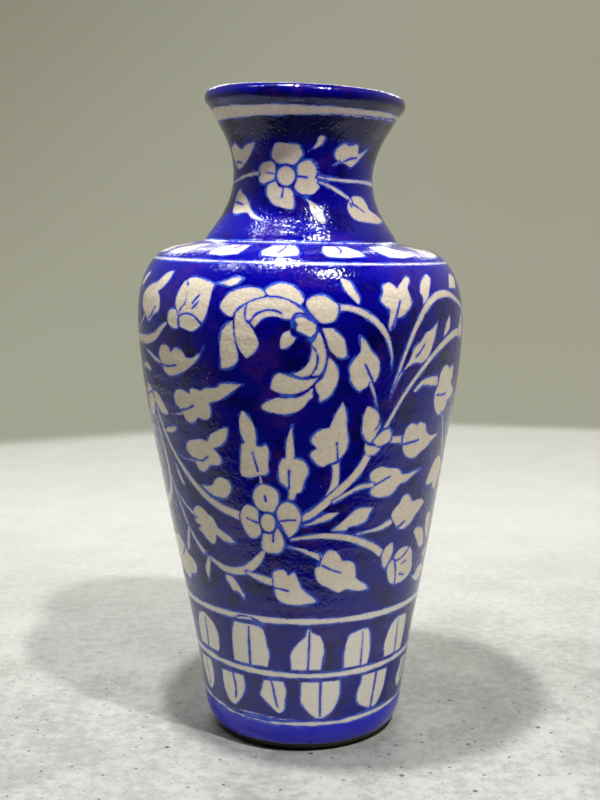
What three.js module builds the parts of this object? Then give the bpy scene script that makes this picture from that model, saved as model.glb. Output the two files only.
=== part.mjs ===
// Baluster vase of fired clay, glazed cobalt and white, built the way a potter builds it: a turned
// foot ring, a base slab, two body sections, a neck and a rolled lip, luted together with slip.
// Millimetres, +Z up. The origin is on the vase's axis, at the plane the foot stands on.

import * as THREE from "three";

const around = 56; // straight sides in a full turn
const fine = 6; // steps along one bend of an outline
const coarse = 4;

// Heights above the table
const vaseHeight = 254;
const baseJointZ = 14;
const bellyJointZ = 124;
const widestZ = 167;
const shoulderBreakZ = 194.2; // the round shoulder turns into the ledge here
const neckJointZ = 197;
const waistZ = 221.5;
const lipJointZ = 240;
const lipWidestZ = 250.4;

// Outside radii
const footRadius = 35;
const baseRadius = 40.8;
const bellyJointRadius = 59.9;
const widestRadius = 64.7;
const shoulderBreakRadius = 51;
const neckRootRadius = 38.4;
const waistRadius = 27.7;
const lipJointRadius = 33.2;
const lipRadius = 39.3;
const lipTopRadius = 35.8;

// Walls
const bodyWall = 5.3;
const neckWall = 4.7;
const ledgeThickness = 5.6;
const slabThickness = 6;
const slabRadius = 33.6;
const footRecess = 5; // hollow under the slab
const footInnerRadius = 29;
const footChamfer = 1;

// Each joint: its height, the radius of its outer edge, the radius of the wall's inside next to it,
// and the size of the groove cut into its inner edge, which the slip fills.
const joints = {
  base: { z: baseJointZ, outer: baseRadius, inner: baseRadius - bodyWall, groove: 2.2 },
  belly: { z: bellyJointZ, outer: bellyJointRadius, inner: bellyJointRadius - bodyWall, groove: 2.4 },
  neck: { z: neckJointZ, outer: neckRootRadius, inner: 31.5, groove: 2.4 },
  lip: { z: lipJointZ, outer: lipJointRadius, inner: lipJointRadius - neckWall, groove: 1.8 },
};
const slipBulge = 0.7; // how far the slip stands out of its groove, into the vase
const footFillet = 2.2; // slip in the corner under the slab

const cobaltGlaze = new THREE.MeshStandardMaterial({ color: 0x15148f, roughness: 0.15, metalness: 0 });
const bareClay = new THREE.MeshStandardMaterial({ color: 0x4a2c20, roughness: 0.85, metalness: 0 });
const slipClay = new THREE.MeshStandardMaterial({ color: 0xcfc4ae, roughness: 0.7, metalness: 0 });

const vase = new THREE.Group();

// Turns a closed outline, given as [radius, height] points, round the vertical axis.
function addTurned(name, outline, material) {
  const profile = outline.map(([radius, z]) => new THREE.Vector2(radius, z));
  if (profile[0].x > 0) profile.push(profile[0].clone());
  const geometry = new THREE.LatheGeometry(profile, around);
  geometry.rotateX(Math.PI / 2);
  const mesh = new THREE.Mesh(geometry, material);
  mesh.name = name;
  vase.add(mesh);
}

// Points along one bend, from start to end, pulled towards two handles.
function bend(start, startHandle, endHandle, end, steps) {
  const curve = new THREE.CubicBezierCurve(
    new THREE.Vector2(...start),
    new THREE.Vector2(...startHandle),
    new THREE.Vector2(...endHandle),
    new THREE.Vector2(...end),
  );
  return curve.getPoints(steps).map((point) => [point.x, point.y]);
}

// The end of a wall at the joint above it, from outside to inside, and at the joint below it.
function topEnd({ z, outer, inner, groove }) {
  return [[outer, z], [inner + groove, z], [inner, z - groove]];
}

function bottomEnd({ z, outer, inner, groove }) {
  return [[inner, z + groove], [inner + groove, z], [outer, z]];
}

// A closed outline from runs of points, without the points two runs share.
function joinRuns(...runs) {
  const points = runs.flat();
  const same = (a, b) => Math.hypot(a[0] - b[0], a[1] - b[1]) < 1e-6;
  return points.filter((point, i) => !same(point, points[(i + 1) % points.length]));
}

function addFootRing() {
  const { z, outer } = joints.base;
  const outside = bend([footRadius, 0], [38.6, 3.4], [40.5, 8], [outer, z], fine);
  const seat = [[slabRadius, footRecess + slabThickness], [slabRadius, footRecess]];
  const recess = [[footInnerRadius, footRecess], [footInnerRadius, footChamfer]];
  const standing = [[footInnerRadius + footChamfer, 0], [footRadius, 0]];
  addTurned("foot_ring", joinRuns(outside, topEnd(joints.base), seat, recess, standing), bareClay);
}

function addBaseSlab() {
  const top = footRecess + slabThickness;
  const outline = [[0, footRecess], [slabRadius, footRecess], [slabRadius, top], [0, top]];
  addTurned("base_slab", outline, bareClay);
}

function addLowerBody() {
  const { base, belly } = joints;
  const outside = bend([base.outer, base.z], [46.3, 50.7], [54, 87.3], [belly.outer, belly.z], fine);
  const inside = bend(
    [belly.inner, belly.z - belly.groove],
    [54 - bodyWall, 87.3],
    [46.3 - bodyWall, 50.7],
    [base.inner, base.z + base.groove],
    coarse,
  );
  addTurned("lower_body", joinRuns(outside, topEnd(belly), inside, bottomEnd(base)), cobaltGlaze);
}

function addUpperBody() {
  const { belly, neck } = joints;
  const widest = [widestRadius, widestZ];
  const shoulderBreak = [shoulderBreakRadius, shoulderBreakZ];
  const outside = joinRuns(
    bend([belly.outer, belly.z], [62.3, 138.3], [widestRadius, 152.7], widest, coarse),
    bend(widest, [widestRadius, 181], [59.5, 191.8], shoulderBreak, fine),
    bend(shoulderBreak, [47, 195.1], [43, 195.7], [neck.outer, neck.z], coarse),
  );
  const innerWidest = [widestRadius - bodyWall, widestZ - 2];
  const innerBreak = [shoulderBreakRadius - 4, shoulderBreakZ - ledgeThickness];
  const inside = joinRuns(
    [[neck.inner, neck.z - ledgeThickness]],
    bend(innerBreak, [55, 186.5], [innerWidest[0], 178], innerWidest, fine),
    bend(innerWidest, [innerWidest[0], 152], [57.2, 139], [belly.inner, belly.z + belly.groove], coarse),
  );
  addTurned("upper_body", joinRuns(outside, topEnd(neck), inside, bottomEnd(belly)), cobaltGlaze);
}

function addNeck() {
  const { neck, lip } = joints;
  const waist = [waistRadius, waistZ];
  const outside = joinRuns(
    bend([neck.outer, neck.z], [35.6, 201.8], [waistRadius, 209.5], waist, fine),
    bend(waist, [waistRadius, 229], [30.1, 235], [lip.outer, lip.z], coarse),
  );
  const innerWaist = [waistRadius - neckWall, waistZ - 1];
  const inside = joinRuns(
    bend([lip.inner, lip.z - lip.groove], [25.4, 233.4], [innerWaist[0], 229], innerWaist, coarse),
    bend(innerWaist, [innerWaist[0], 210], [28.5, 203.5], [neck.inner, neck.z + neck.groove], coarse),
  );
  addTurned("neck", joinRuns(outside, topEnd(lip), inside, bottomEnd(neck)), cobaltGlaze);
}

function addLipRoll() {
  const { lip } = joints;
  const rollStart = [37.2, 246.8];
  const widest = [lipRadius, lipWidestZ];
  const top = [lipTopRadius, vaseHeight];
  const innerEdge = [33, 251.6];
  const outline = joinRuns(
    bend([lip.outer, lip.z], [34.6, 242.6], [36, 245], rollStart, coarse),
    bend(rollStart, [38.3, 248.3], [39.3, 249], widest, coarse),
    bend(widest, [39.3, 252.6], [37.9, vaseHeight], top, coarse),
    bend(top, [34.3, vaseHeight], [33.4, 253], innerEdge, coarse),
    bend(innerEdge, [32, 248], [29.6, 243.5], [lip.inner, lip.z + lip.groove], coarse),
    bottomEnd(lip),
  );
  addTurned("lip_roll", outline, cobaltGlaze);
}

// The slip that fills a joint's groove and stands a little proud inside the vase.
function addSlipSeam(name, { z, inner, groove }) {
  const outline = [
    [inner - slipBulge, z],
    [inner, z - groove],
    [inner + groove, z],
    [inner, z + groove],
  ];
  addTurned(name, outline, slipClay);
}

function addFootFillet() {
  const outline = [
    [footInnerRadius, footRecess - footFillet],
    [footInnerRadius, footRecess],
    [footInnerRadius - footFillet, footRecess],
    [footInnerRadius - footFillet / 3, footRecess - footFillet / 3],
  ];
  addTurned("slip_seam_foot", outline, slipClay);
}

addFootRing();
addBaseSlab();
addLowerBody();
addUpperBody();
addNeck();
addLipRoll();
addFootFillet();
addSlipSeam("slip_seam_base", joints.base);
addSlipSeam("slip_seam_belly", joints.belly);
addSlipSeam("slip_seam_neck", joints.neck);
addSlipSeam("slip_seam_lip", joints.lip);

export default vase;
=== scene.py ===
import math
import bpy
import numpy as np
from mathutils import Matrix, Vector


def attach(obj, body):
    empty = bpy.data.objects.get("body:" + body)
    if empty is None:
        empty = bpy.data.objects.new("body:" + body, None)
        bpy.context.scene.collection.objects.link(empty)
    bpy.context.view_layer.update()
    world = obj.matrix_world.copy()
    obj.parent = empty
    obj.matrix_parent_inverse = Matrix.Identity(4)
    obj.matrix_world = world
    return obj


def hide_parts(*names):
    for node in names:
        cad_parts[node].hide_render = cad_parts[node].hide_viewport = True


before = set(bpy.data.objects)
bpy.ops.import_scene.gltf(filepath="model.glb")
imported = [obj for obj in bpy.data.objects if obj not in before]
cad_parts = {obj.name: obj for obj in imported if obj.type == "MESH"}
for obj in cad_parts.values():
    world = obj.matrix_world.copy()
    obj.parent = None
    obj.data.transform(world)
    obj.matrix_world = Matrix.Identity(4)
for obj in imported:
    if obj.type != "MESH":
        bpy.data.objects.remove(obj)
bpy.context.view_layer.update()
mm = 0.001  # the outlines below are worked in millimetres and made in metres

# The thrown and joined pot. Angles are degrees round the pot, 0 facing the viewer, growing to the right.
pot = {
    "columns": 840,  # points round the wall
    "rowStep": 0.48,  # mm between rows on the painted side
    "insideStep": 3.0,  # mm between rows on the plain inside
    "easedCorner": 0.3,  # mm taken off hidden corners
    "bow": ((0, 60, 120, 190, 215, 254), (0, -0.1, -1.1, -1.05, -0.2, 0.9)),  # mm the axis wanders sideways
    "lean": ((0, 60, 190, 197, 242, 254), (0, 0.4, 1.1, 1.0, 2.4, 2.7)),  # degrees, right side lower
    "ovalness": 0.22,
    "throwingRings": 0.025,
    "ringSpacing": 5.6,
    "handDents": 0.12,
    "glazeStarts": 3.4,  # mm up; bare clay below
    "insideRunEnds": 242,  # mm up, where the painted run over the lip stops inside the mouth
}
rng = np.random.default_rng(41)
dents = rng.uniform(0, 2 * math.pi, 8)


def outlineOf(node):
    # one side of the turned solid, as a loop of (radius, height) starting low outside and climbing
    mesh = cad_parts[node].data
    co = np.array([v.co for v in mesh.vertices]) / mm
    keys = [(round(math.hypot(x, y), 3), round(z, 3)) for x, y, z in co.tolist()]
    onSide = np.abs(np.degrees(np.arctan2(co[:, 1], co[:, 0]))) < 0.01
    onSide |= np.hypot(co[:, 0], co[:, 1]) < 0.01
    links = {}
    for a, b in (e.vertices for e in mesh.edges):
        if onSide[a] and onSide[b] and keys[a] != keys[b]:
            links.setdefault(keys[a], set()).add(keys[b])
            links.setdefault(keys[b], set()).add(keys[a])
    floor = min(z for r, z in links)
    here = max(k for k in links if k[1] == floor)
    if min(len(v) for v in links.values()) == 1:  # a disc's outline runs from axis to axis
        here = min(k for k in links if len(links[k]) == 1 and k[1] == floor)
    walk = [here]
    while True:
        ahead = [k for k in links[walk[-1]] if k not in walk]
        if not ahead:
            return walk
        walk.append(max(ahead, key=lambda k: k[1]))


def smoothRun(points, step):
    # a curve through the points, with rows about one step apart; also says which row each point became
    p = np.array(points, float)
    gaps = np.hypot(*np.diff(p, axis=0).T)
    slope = np.diff(p, axis=0) / gaps[:, None]
    inner = (slope[1:] * gaps[:-1, None] + slope[:-1] * gaps[1:, None]) / (gaps[1:] + gaps[:-1])[:, None]
    tangent = np.vstack([slope[:1], inner, slope[-1:]])
    rows, at = [], []
    for i, gap in enumerate(gaps):
        at.append(len(rows))
        count = max(1, round(gap / step))
        for t in np.arange(count) / count:
            a, b = 2 * t**3 - 3 * t**2 + 1, t**3 - 2 * t**2 + t
            c, d = 3 * t**2 - 2 * t**3, t**3 - t**2
            rows.append(a * p[i] + b * gap * tangent[i] + c * p[i + 1] + d * gap * tangent[i + 1])
    at.append(len(rows))
    rows.append(p[-1])
    return np.array(rows), at


def plainRun(points, step, ease=0.0):
    # straight runs between the points, cut into steps, with the corners eased
    p = np.array(points, float)
    rows = [p[0]]
    for i in range(1, len(p)):
        back = p[i - 1] - p[i]
        far = math.hypot(*back)
        if ease and i + 1 < len(p):
            ahead = p[i + 1] - p[i]
            cut = min(ease, far / 3, math.hypot(*ahead) / 3)
            stops = [p[i] + back / far * cut, p[i] + ahead / math.hypot(*ahead) * cut]
        else:
            stops = [p[i]]
        reach = stops[0] - rows[-1]
        count = max(1, math.ceil(math.hypot(*reach) / step))
        start = rows[-1]
        rows += [start + reach * k / count for k in range(1, count + 1)]
        rows += stops[1:]
    return np.array(rows)


def handShaped(radius, height, angle):
    # the slightly crooked pot: out of round, ringed by the fingers, leaning, its axis wandering
    rise = np.clip(height / 60, 0, 1)
    radius = radius + rise * pot["ovalness"] * np.cos(2 * angle + 0.7)
    radius = radius + rise * pot["throwingRings"] * np.sin(2 * math.pi * height / pot["ringSpacing"] + angle)
    for k in range(4):
        turn = (k + 2) * angle + dents[k] + height / (17 + 6 * k)
        swell = np.sin(height / (23 + 5 * k) + dents[k + 4])
        radius = radius + rise * pot["handDents"] / (k + 1) * np.sin(turn) * swell
    x = radius * np.sin(angle)
    y = -radius * np.cos(angle)
    z = height - x * np.tan(np.radians(np.interp(height, *pot["lean"])))
    return np.stack([x + np.interp(height, *pot["bow"]), y, z + 0 * x], -1)


sections = ["foot_ring", "lower_body", "upper_body", "neck", "lip_roll"]
outlines = {name: outlineOf(name) for name in sections + ["base_slab"]}
paintEnds = {}  # the last painted point of each section's outline, its top outer corner
for name in sections:
    loop = outlines[name]
    paintEnds[name] = max(range(len(loop)), key=lambda i: (loop[i][1], loop[i][0]))
# over the lip the painted run goes on, down the inside to near the seam with the neck
overLip = range(paintEnds["lip_roll"], len(outlines["lip_roll"]))
paintEnds["lip_roll"] = min(i for i in overLip if outlines["lip_roll"][i][1] < pot["insideRunEnds"])
painted, joins = [], [0]
for name in sections:
    painted += outlines[name][1 if painted else 0 : paintEnds[name] + 1]
    joins.append(len(painted) - 1)
rows, rowAt = smoothRun(painted, pot["rowStep"])
joinRow = [rowAt[j] for j in joins]
rowRadius, rowHeight = rows[:, 0], rows[:, 1]
rowArc = np.concatenate([[0], np.cumsum(np.hypot(*np.diff(rows, axis=0).T))])
crest = int(np.argmax(rowHeight))  # the top of the lip
angles = 2 * math.pi * np.arange(pot["columns"]) / pot["columns"]
skin = handShaped(rowRadius[:, None], rowHeight[:, None], angles[None, :])
across = np.roll(skin, -1, 1) - np.roll(skin, 1, 1)
skinNormal = np.cross(across, np.gradient(skin, axis=0))
skinNormal /= np.linalg.norm(skinNormal, axis=2, keepdims=True)
print("outline rows", len(rows), "round", pot["columns"], "arc mm", round(float(rowArc[-1]), 1))

# The painting. A petal is a closed white shape, a stem a white stroke with a half width in mm after
# each place, a line is a blue pen stroke, a ring is a blue circle: its middle and its two radii.
# Each place is degrees round, mm high, and a c marks a sharp corner.
brush = {
    "petalEdge": 0.27,  # half width of the blue outline of a petal, mm
    "stemEdge": 0.22,
    "penLine": 0.36,
    "reach": 3.0,  # how far a stroke is felt, mm
}
farAway = 50.0  # mm, further than any stroke is felt
motif = np.full((len(rows), pot["columns"]), farAway, np.float32)  # mm to the white, negative inside it
pen = motif.copy()  # mm to the blue pen, negative inside it
degrees = np.degrees(angles)


def arcAt(height):
    return np.interp(height, rowHeight[: crest + 1], rowArc[: crest + 1])


def windowRound(x, y, mid, girth, reach):
    # the patch of wall near a stroke: which rows and columns, and where they lie in mm
    lowRow, highRow = np.searchsorted(rowArc, (y.min() - reach, y.max() + reach))
    first = math.floor((mid + math.degrees((x.min() - reach) / girth)) / 360 * pot["columns"])
    last = math.ceil((mid + math.degrees((x.max() + reach) / girth)) / 360 * pot["columns"])
    cols = np.arange(first, last + 1)
    px = np.radians(cols * 360 / pot["columns"] - mid) * girth
    return slice(lowRow, highRow), cols % pot["columns"], px[None, :], rowArc[lowRow:highRow][:, None]


def curveThrough(x, y, sharp, closed, width=None):
    # rounds the corners of a drawn outline, keeping the sharp ones
    p = np.stack([x, y] + ([width] if width is not None else []), 1)
    before, after = np.roll(p, 1, 0), np.roll(p, -1, 0)
    tangent = (after - before) / 2
    if not closed:
        tangent[0], tangent[-1] = p[1] - p[0], p[-1] - p[-2]
    tangent[np.array(sharp)] *= 0.15
    count = len(p) if closed else len(p) - 1
    t = np.linspace(0, 1, 7)[:-1, None]
    a, b = 2 * t**3 - 3 * t**2 + 1, t**3 - 2 * t**2 + t
    c, d = 3 * t**2 - 2 * t**3, t**3 - t**2
    out = []
    for i in range(count):
        j = (i + 1) % len(p)
        long = np.hypot(*(p[j] - p[i])[:2]) + 1e-9
        m0, m1 = (m * min(1, 1.3 * long / (np.hypot(*m[:2]) + 1e-9)) for m in (tangent[i], tangent[j]))
        out.append(a * p[i] + b * m0 + c * p[j] + d * m1)
    if not closed:
        out.append(p[-1:])
    return np.concatenate(out).astype(np.float32)


def strokeDistance(curve, px, py, closed):
    # distance to the drawn line, less its half width where it has one, and whether a point is inside
    nxt = np.roll(curve, -1, 0) if closed else curve[1:]
    cur = curve if closed else curve[:-1]
    best = np.full(np.broadcast_shapes(px.shape, py.shape), farAway, np.float32)
    inside = np.zeros(best.shape, bool)
    for a, b in zip(cur, nxt):
        dx, dy = b[0] - a[0], b[1] - a[1]
        t = np.clip(((px - a[0]) * dx + (py - a[1]) * dy) / (dx * dx + dy * dy + 1e-9), 0, 1)
        far = np.hypot(px - a[0] - t * dx, py - a[1] - t * dy)
        if len(a) > 2:
            far = far - (a[2] + t * (b[2] - a[2]))
        best = np.minimum(best, far)
        if closed and a[1] != b[1]:
            inside ^= ((a[1] > py) != (b[1] > py)) & (px < dx * (py - a[1]) / dy + a[0])
    return np.where(inside, -best, best) if closed else best


def lay(kind, places, turn=0.0, seed=0, edge=None):
    # lays one brush stroke on the wall
    ang = np.array([p[0] for p in places], float)
    high = np.array([p[1] for p in places], float)
    if turn:  # the far side is painted again by hand, so it comes out a little different
        near = np.cos(np.radians(np.clip(ang, -90, 90)))
        ang = ang + near * (2.2 * np.sin(high / 19 + 1) + 1.6 * np.sin(ang / 21 + high / 31))
        high = high + near * (1.3 * np.sin(ang / 17 + 2) + 0.9 * np.sin(high / 13))
        hand = np.random.default_rng(seed)
        ang = ang + near * hand.normal(0, 0.35, len(ang))
        high = high + near * hand.normal(0, 0.22, len(ang))
        ang = ang + turn
    mid = float(ang.mean())
    girth = float(np.interp(high.mean(), rowHeight[: crest + 1], rowRadius[: crest + 1]))
    x, y = np.radians(ang - mid) * girth, arcAt(high)
    sharp = [len(p) > 3 and p[3] for p in places]
    width = None if kind == "petal" else np.array([p[2] for p in places], float)
    curve = curveThrough(x, y, sharp, kind in ("petal", "ring"), width)
    look = windowRound(x, y, mid, girth, brush["reach"])
    here = np.ix_(np.arange(look[0].start, look[0].stop), look[1])
    if kind in ("line", "ring"):
        run = curve if kind == "line" else np.vstack([curve, curve[:1]])
        pen[here] = np.minimum(pen[here], strokeDistance(run, look[2], look[3], False))
        return
    far = strokeDistance(curve, look[2], look[3], kind == "petal")
    edge = edge if edge is not None else brush["petalEdge" if kind == "petal" else "stemEdge"]
    pen[here] = np.minimum(np.maximum(pen[here], -far), np.abs(far) - edge)
    motif[here] = np.minimum(motif[here], far)


def readStrokes(text):
    strokes = []
    for word in text.split():
        if word[0].isalpha():
            strokes.append((word, []))
            continue
        sharp = word.endswith("c")
        numbers = [float(n) for n in word.rstrip("c").split(",")]
        if len(numbers) == 2:
            numbers.append(brush["penLine"])
        strokes[-1][1].append((*numbers, sharp))
    return strokes


def ringPlaces(ang, high, wide, tall, width):
    girth = float(np.interp(high, rowHeight[: crest + 1], rowRadius[: crest + 1]))
    turns = np.radians(np.arange(0, 360, 30))
    return [(ang + math.degrees(wide / girth) * math.cos(t), high + tall * math.sin(t), width) for t in turns]


shoulderSprays = """
petal -77,180c -72,184 -67.3,185.2c -70,182 -74,179
petal -49.3,185.8c -50.5,182.5 -53,179.5 -56,178c -54.3,176.5 -53.6,173 -54.5,170.5 -57,169.5 -58.5,168.5
 -60.5,167 -63,166.7 -65,168.5c -68.5,171.5 -69.8,174.5 -69,177 -66,179.3 -62,180.8 -58,181.8c -55.5,183.8
 -52,185.8
line -62.5,167.6 -60,168.8 -58,171 -56.7,172.3
stem -66,168.5,.8 -69,166,.6 -73.5,162.7,.5
stem -93,159.5,1.6 -90,159.5,1.6 -80,159.5,1.6 -70,159.4,1.9 -63,159.8,1.9 -57,161.6,1.6 -52.5,164.8,1.2
 -49.6,166.8,.7
petal -47.6,156.8c -46,158.2 -44,158.5 -41.5,157.3 -40.4,155.6c -38.5,155.3 -36.5,156 -34,157.8 -32.1,160.3c
 -33,158 -35.5,154.3 -38.5,151.5 -42,149.4 -45,148.2 -49,147.3 -52,148.5 -53.7,150.5 -54.6,153 -55.2,155.5
 -53.7,158.3 -51.5,159.3 -49,158.8
stem -66.5,156.2,.35 -62,154.6,.8 -58,153,1 -55,152.2,.9
line -54.3,151.4 -50,151 -47,151.5 -45.5,151.8
petal -73,149 -68,151 -65,150.5 -61.5,148.3c -64,147.6 -68,148.2 -71,148.4
petal -49,167.8 -48.6,170.5 -47.3,172.3 -44.8,172.4 -43,171.5 -42.3,169 -42,166.5 -43.8,165.1 -46,165.2
 -47.8,166.2
petal -44.6,172.8 -45.2,175.8 -44.3,179 -42.6,182.2c -40.3,183.8 -37,184.2 -33,183.4 -29,182c -29.6,179
 -30.3,174 -31.8,169.3 -34,166.3 -36.8,164.6 -40,165.2 -42.5,166.2 -43,169.5
line -43.2,166 -43.2,169 -41.6,170.6 -39,171.1 -36,170.3 -33.2,167.8
line -43,171,.2 -42,172.8,.25 -40.2,175,.2 -40,178.5,.1
line -37,175 -34.6,177.8
line -36.8,173.2 -34.7,175.5
line -41.3,183 -40.2,181.3
petal -28.8,182.2c -25,183.6 -22,184.9 -18.8,184.4c -20.5,182.5 -23,181.3 -26,181.9
stem 12,175,1.3 16,174.6,1.2 20,173,1.3 24,170.2,1.3 27,166.7,1.3 29,162.8,.9 30.2,158,.6 30.6,152.8,.15
petal 13,185.5c 16.5,184 17.7,181.5 19,179 19.2,177 18.5,175.8c 16,178.3 14,181 13,184
petal 33.4,181.8c 31.8,183.3 30.2,183.8 27.7,182.6 27.3,180 26.1,177.6 27.5,175.5 29.5,174c 29,171 28.5,168.2
 29.4,166.3c 31,168 32.3,171c 34,171.2 36,172.5 38.7,175.5 38.8,178 38.2,181.4 39.8,183.5 39.8,185.3 38,185.6
 35.5,183.8 34.3,182.8
line 29.9,167.5 31.8,171.5 33,175 34,177.2
petal 43.8,175.2c 44.2,178 43.2,180 44.5,183 47,185.2 50,186.5 51.6,185 50.5,182.8 48.7,180.2 48,178.6
 46.5,177
stem 30.7,141.3,.2 31.8,146.5,.5 33.5,151.5,.8 35.5,157.5,.9 38,163.5,1.1 41,169,1.3 45.5,174.5,1.5 51,178,1.6
 57,179,1.6 63,178.3,1.4 69,176,1.2 74,174,1.1 79,171,1.1 84,166.5,1.3 88,161.5,1.5
petal 51.7,169.3c 47.8,166.6 44.5,165.3 42.3,162.5 39.4,160.2 38.3,157.5 36.8,154.6 34.2,150.6c 37,152.6
 40.5,154.3 43.5,153.9 46.8,156 49,160.5 50.5,165
line 40.5,156.6 42.8,158.8 44.4,161
stem 34.5,151,.6 32.5,146.5,.4 31,141.5,.15
stem 30.5,131.5,1 33,136.5,1 36.5,142.5,1 40.5,148,1.1 45.5,153.3,1.2 50,157.2,1.3 55,160.3,1.5 60,162.5,1.6
 65,163.8,1.7 70,163.8,1.8
petal 69,163 71,168 74,171.5c 76,168 76.5,163.5 73.5,161
petal 54.8,162.6c 55.8,165.5 57.3,168.5 60,171.3c 60.7,169 60,166 58,164.2
petal 63,180.8c 66,184 69,186 72.5,186 76,184.5c 73.5,182 71,180.4 67,180.4
petal 18.6,165.1c 20.8,163.5 23,159.8 25,157.8 26.2,155 26,151 24.8,148.3 22.5,147c 20.8,145.8 19,145
 17.5,146.5 16,148.8 15.7,151c 15.3,153.5 16.5,156.5 18.8,159.3c 19,161.5
line 21,154.7 22.5,151.3 23.7,149 24.5,147
stem 23.2,147.5,.8 24.6,144,.7 25.6,140.5,.5 26,138,.2
"""
bigRose = """
petal -26.4,173.6 -26.2,175.6 -25,177.5 -23.5,179.3 -20.5,180.8 -17,181.6 -13.5,181.2 -11.5,180 -11,178.2c
 -14,177.3 -17,175.8 -19.5,174 -21,171.8 -21.8,170.6c -24,171.3
petal -11.7,180.5c -9.5,182.3 -6.5,183.2 -3.5,182.8 -1,181.3 0.8,179 1.2,177 0,175.3c -3,177 -6.5,178.2
 -10.5,178.6c
petal 1.5,176.5 2.5,178.3 5,179.2 8,179.1 10.2,177.3 12,175.8 12,173.5 11,170.7 9.5,169.5 7,169.2 5.3,170
 3.5,172.3 2,174.3
petal -21.6,170.2c -20.8,172.8 -18.5,175 -15,177 -10.5,178.3 -6,178 -2,176.2 1,173.8 4.5,169.8c 2.5,171.3
 -0.5,171.8 -2.6,170.6c -5,170.6 -8,171.3 -11,170.8 -13,169 -14.3,167.2c -16.5,169.5 -18.5,169.6
line -15.8,169.5 -14,172 -11,173.6 -8,173.6 -6,172.6
petal -21.5,170c -23.3,168.8 -25,167 -26,164.5 -26.5,160 -26.4,155 -26.3,152.1c -23.5,152.4 -21,153.8
 -20,155.5 -19.8,158 -20.6,161.5 -21.2,166
petal -16.8,175.8c -19.5,174 -21,171.5 -21.2,167 -20.7,162.5 -19.3,158.8 -17.2,156.2c -14.5,158.2
 -13.2,160.5 -13,162.5 -13.8,164.8 -15.5,168 -17.2,170 -17.6,173
petal -1.7,171.2 .2,171.8 2.8,170.7 5,168.7 4.8,166.3 3.1,164.3c 1.1,165.3 -1.4,166.7c -1.5,168 -1.2,168.9c
 -1.8,170
line -1.4,166.4,.3 -2.6,168.5,.45 -2.4,171,.45 -1.2,172.6,.45 1.5,172.5,.45 4,170.8,.5 5.6,168.6,.5
 5.2,165.8,.45 3.4,163.6,.4 1.8,163.6,.2
petal -3.2,167.2c -5.5,166 -6.5,163.5 -6.5,161 -5.8,160 -3.8,160.8 -2,162.5 -1.3,164.6c -2.8,165.4
petal 6.3,168c 10,168 11,166.8 13.5,164.5 14.5,161.5 14.9,157.6c 12.5,157 10,158.5 8.5,161 7.5,164.5
petal 8.5,158c 10.5,156.2 12,153 12.3,150.3 11.5,147 9.5,143.5 6.5,141.2c 5.7,142.3 5.8,143.6c 4.3,147.5
 6.8,150.5 8,154
line 4.4,147.5 4.5,143.5
petal 5.2,167c 6.4,165.5 7.8,161 8.2,157 7.2,152.8 5.5,150.8 3,151c 4.8,153.5 5.4,157 4.6,159.8 3.2,162.3c
 4.5,164.3
petal 3.2,162.2c 4.6,159.8 5.3,157 4.5,153.3 2.8,150.8 0,150.3 -2.8,151.6c 0.3,153.3 2.3,156 3.1,159
petal -6.7,152.1c -8.8,150.5 -9.7,148 -10,146c -8,144.7 -5,144 -2,144.1 1,145.2 3.5,147 6.2,150.8c 4,150.2
 0,149.8 -3,150.8
petal -13.3,139.3c -12,137.9 -8.5,136.9 -5,136.6 -1.5,137.5 1,139.3 2.5,141.5 4.2,143.2c 4,147.3c 2,145.2
 -1,143.4 -4.5,143 -8,142.9 -11,141.6
line -4.5,143.6 -1,143.9 2,145.6 4.5,148 6.3,150.6
"""
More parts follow.
